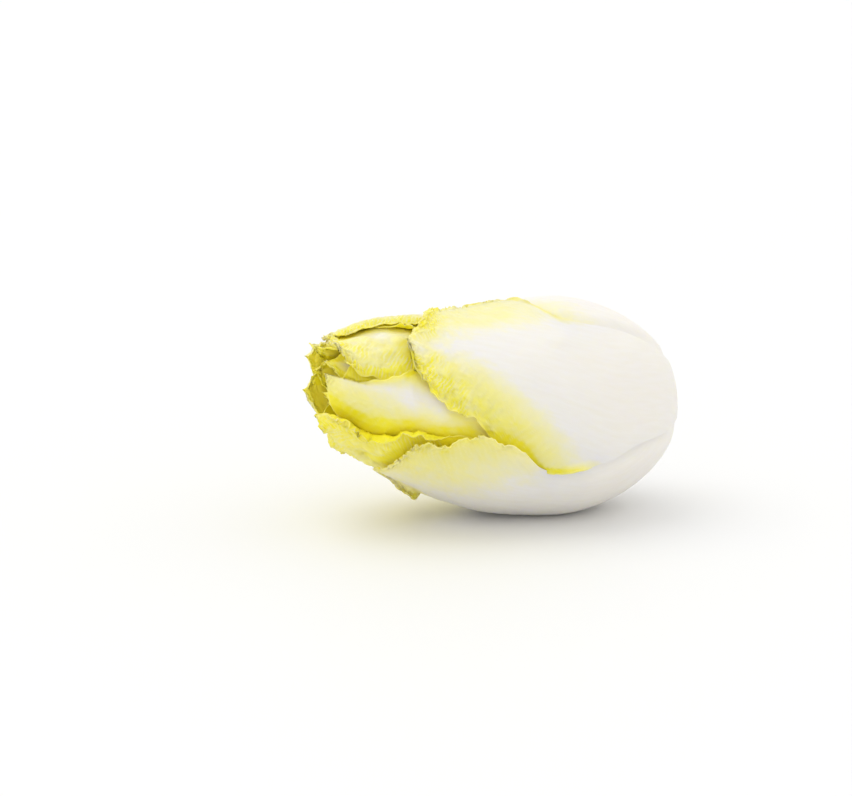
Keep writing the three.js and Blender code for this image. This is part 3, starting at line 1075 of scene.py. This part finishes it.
class ENDIVE_OT_stem(bpy.types.Operator):
    """Build the core that carries the leaves, with its cut face"""

    bl_idname = "endive.stem"
    bl_label = "Cut stem"

    def execute(self, context):
        looks = context.scene.endive_stem
        sides = STEM_SIDES
        face_radius = float(head_radius(0.0)) - looks.inset / MM
        profile = [(0.0, face_radius * i / FACE_RINGS) for i in range(1, FACE_RINGS)] + [(BEVEL, face_radius)]
        for at in (CORE_LENGTH * np.linspace(0, 1, STEM_RINGS + 1) ** RING_CROWDING)[1:-1]:
            bed = (head_radius(at) - looks.bedding / MM) * (1 - smooth(within(BEDDED, at)))
            profile.append((BEVEL + float(at), float(max(core_radius(at), bed))))
        points, ring = [place(0.0, 0.0, 0.0)], [0.0]
        for at, radius in profile:
            share = radius / face_radius if at <= BEVEL else 0
            vessels = np.exp(-((share - VESSELS_AT) / VESSELS_BREADTH) ** 2) * VESSELS_STRENGTH
            dried = smooth((share - DRIED_FROM) / (1 - DRIED_FROM)) * DRIED_STRENGTH
            for angle in np.linspace(0, 360, sides, endpoint=False):
                wavy = sum(height * sin(radians(angle) * count + start) for height, count, start in STEM_WAVES)
                points.append(place(at, angle, radius * (1 + wavy)))
                ring.append(float(vessels + dried))
        points.append(place(float(CORE_LENGTH), 0.0, 0.0))
        ring.append(0.0)
        faces = [[0, 1 + (i + 1) % sides, 1 + i] for i in range(sides)]
        for level in range(len(profile) - 1):
            for i in range(sides):
                here, after = 1 + level * sides, 1 + (level + 1) * sides
                faces.append([here + i, here + (i + 1) % sides, after + (i + 1) % sides, after + i])
        last = len(points) - 1
        top = 1 + (len(profile) - 1) * sides
        faces += [[last, top + i, top + (i + 1) % sides] for i in range(sides)]
        piece = mesh_object("cut_stem", points, faces, {"ring": ring})
        piece.data.materials.append(cut_tissue("cut_stem_tissue", looks))
        hand_in(piece, "core")
        return {"FINISHED"}


class ENDIVE_OT_stage(bpy.types.Operator):
    """Set the floor, the soft lights and the camera"""

    bl_idname = "endive.stage"
    bl_label = "Stage"

    def execute(self, context):
        looks = context.scene.endive_stage
        half = looks.floor_size / 2 / MM
        corners = [(-half, -half, 0), (half, -half, 0), (half, half, 0), (-half, half, 0)]
        floor = mesh_object("floor", corners, [[0, 1, 2, 3]])
        paint, _, surface = shader("pale_floor", 0.6, 0.0, (1, 1, 1))
        surface.inputs["Base Color"].default_value = with_alpha(looks.floor_colour)
        floor.data.materials.append(paint)

        low, high = (Vector(corner) for corner in CAD_BOX)
        middle = (low + high) / 2
        world = bpy.data.worlds.new("studio")
        world.use_nodes = True
        sky = world.node_tree.nodes["Background"]
        sky.inputs["Color"].default_value = (1, 1, 1, 1)
        sky.inputs["Strength"].default_value = looks.daylight
        context.scene.world = world
        context.scene.view_settings.view_transform = "Standard"
        lamp = bpy.data.objects.new("key", bpy.data.lights.new("key", "SUN"))
        lamp.data.energy = looks.key_strength
        lamp.data.angle = looks.softness
        lamp.rotation_euler = Vector(KEY_FROM).to_track_quat("Z", "Y").to_euler()
        context.scene.collection.objects.link(lamp)

        camera = bpy.data.objects.new("camera", bpy.data.cameras.new("camera"))
        context.scene.collection.objects.link(camera)
        camera.data.lens, camera.data.sensor_width, camera.data.clip_start = LENS, SENSOR, CLIP_START
        level = cos(looks.elevation)
        back = Vector((sin(looks.azimuth) * level, -cos(looks.azimuth) * level, sin(looks.elevation)))
        right = Vector((cos(looks.azimuth), sin(looks.azimuth), 0))
        target = middle - right * looks.aside + back.cross(right) * looks.above
        camera.location = target + back * looks.distance
        camera.rotation_euler = (-back).to_track_quat("-Z", "Y").to_euler()
        context.scene.camera = camera
        return {"FINISHED"}


class ENDIVE_PT_panel(bpy.types.Panel):
    """Lists the steps that build the endive, with their settings"""

    bl_idname = "ENDIVE_PT_panel"
    bl_label = "Belgian endive"
    bl_space_type = "VIEW_3D"
    bl_region_type = "UI"
    bl_category = "Endive"

    def draw(self, context):
        for operator, settings in STEPS:
            self.layout.operator(operator.bl_idname)
            group = getattr(context.scene, settings)
            for key in group.bl_rna.properties.keys():
                if key not in ("rna_type", "name"):
                    self.layout.prop(group, key)


STEPS = (
    (ENDIVE_OT_stage, "endive_stage"),
    (ENDIVE_OT_stem, "endive_stem"),
    (ENDIVE_OT_outer_leaves, "endive_leaves"),
    (ENDIVE_OT_heart_leaves, "endive_leaves"),
)
SETTINGS = {
    "endive_leaves": EndiveLeafSettings,
    "endive_stem": EndiveStemSettings,
    "endive_stage": EndiveStageSettings,
}
CLASSES = (*SETTINGS.values(), *(step[0] for step in STEPS), ENDIVE_PT_panel)


def register():
    for cls in CLASSES:
        bpy.utils.register_class(cls)
    for key, group in SETTINGS.items():
        setattr(bpy.types.Scene, key, bpy.props.PointerProperty(type=group))


def unregister():
    for key in SETTINGS:
        delattr(bpy.types.Scene, key)
    for cls in reversed(CLASSES):
        bpy.utils.unregister_class(cls)


def main():
    register()
    for operator, _ in STEPS:
        family, name = operator.bl_idname.split(".")
        getattr(getattr(bpy.ops, family), name)()


if __name__ == "__main__":
    main()
